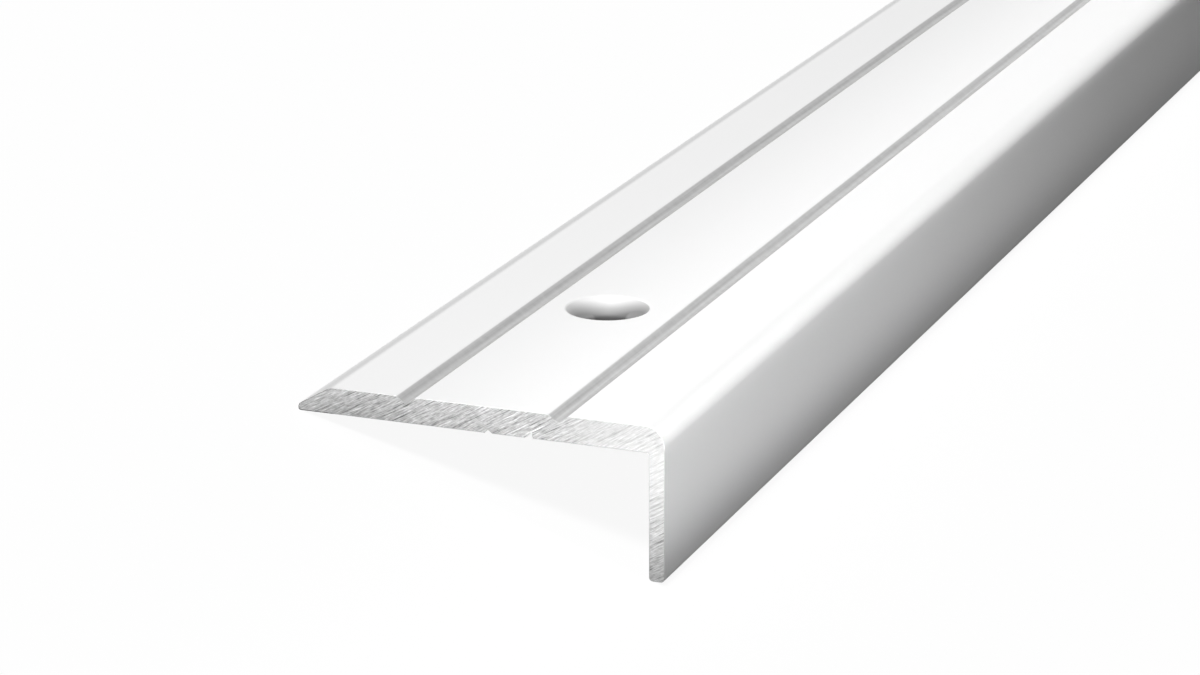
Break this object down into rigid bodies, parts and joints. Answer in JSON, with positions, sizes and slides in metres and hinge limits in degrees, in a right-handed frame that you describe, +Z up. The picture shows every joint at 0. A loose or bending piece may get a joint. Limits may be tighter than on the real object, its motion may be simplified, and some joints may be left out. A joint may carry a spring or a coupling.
{
  "type": "angle profile",
  "caption": "White-coated aluminium angle section with a bevelled rear edge, grip grooves and countersunk screw holes, which covers and guards the edge of a step.",
  "frame": {"origin": "on the floor under the middle of the bounding box, halfway along the length", "axes": "+Y along the length, +X from the thin rear edge towards the front leg, +Z up as the length lies unheld on its rear edge and on the foot of its front leg"},
  "size_m": [0.0258, 1, 0.0093],
  "materials": {
    "white_coat": "satin"
  },
  "bodies": {
    "root": {"angle_profile": "white_coat"}
  },
  "joints": []
}
